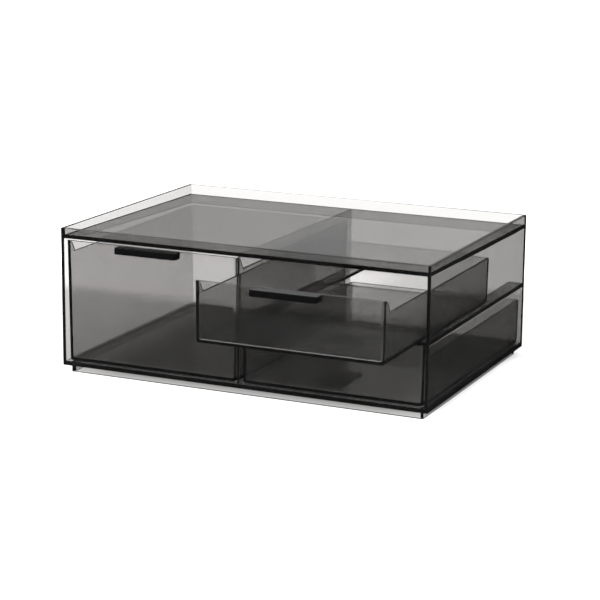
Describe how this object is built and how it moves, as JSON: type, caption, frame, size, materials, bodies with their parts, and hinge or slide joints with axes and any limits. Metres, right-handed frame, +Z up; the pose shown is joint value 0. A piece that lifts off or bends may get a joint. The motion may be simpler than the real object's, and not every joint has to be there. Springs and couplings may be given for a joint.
{
  "type": "desktop drawer organiser",
  "caption": "Wide low desktop organiser in smoked clear plastic: a tall drawer beside two stacked short drawers, with a tray-lipped top and a nesting rim under the base.",
  "frame": {"origin": "on the standing surface, in the middle of the footprint as stored, with the upper right drawer pulled out", "axes": "+Z up, +Y towards the back, +X to the right seen from the open front"},
  "size_m": [0.33, 0.3244, 0.125],
  "materials": {
    "smoked_clear_plastic": "polished, transparent smoke grey",
    "dark_smoked_plastic": "polished, darker transparent smoke grey",
    "black_plastic": "satin"
  },
  "bodies": {
    "case": {"side_panel_left": "smoked_clear_plastic", "side_panel_right": "smoked_clear_plastic", "back_panel": "smoked_clear_plastic", "base_panel": "smoked_clear_plastic", "front_rail": "smoked_clear_plastic", "top_deck": "smoked_clear_plastic", "centre_divider": "smoked_clear_plastic", "ledge_left": "smoked_clear_plastic", "ledge_right": "smoked_clear_plastic", "rim_left": "smoked_clear_plastic", "rim_right": "smoked_clear_plastic", "rim_front": "smoked_clear_plastic", "rim_back": "smoked_clear_plastic"},
    "tall_drawer": {"tall_drawer_tub": "dark_smoked_plastic", "tall_drawer_pull": "black_plastic"},
    "upper_drawer": {"upper_drawer_tub": "dark_smoked_plastic", "upper_drawer_pull": "black_plastic"},
    "lower_drawer": {"lower_drawer_tub": "dark_smoked_plastic", "lower_drawer_pull": "black_plastic"}
  },
  "joints": [
    {"name": "tall_drawer_slide", "type": "slide", "parent": "case", "child": "tall_drawer", "axis": [0, -1, 0], "range_m": [0, 0.19]},
    {"name": "upper_drawer_slide", "type": "slide", "parent": "case", "child": "upper_drawer", "axis": [0, -1, 0], "range_m": [-0.083, 0.107]},
    {"name": "lower_drawer_slide", "type": "slide", "parent": "case", "child": "lower_drawer", "axis": [0, -1, 0], "range_m": [0, 0.19]}
  ]
}
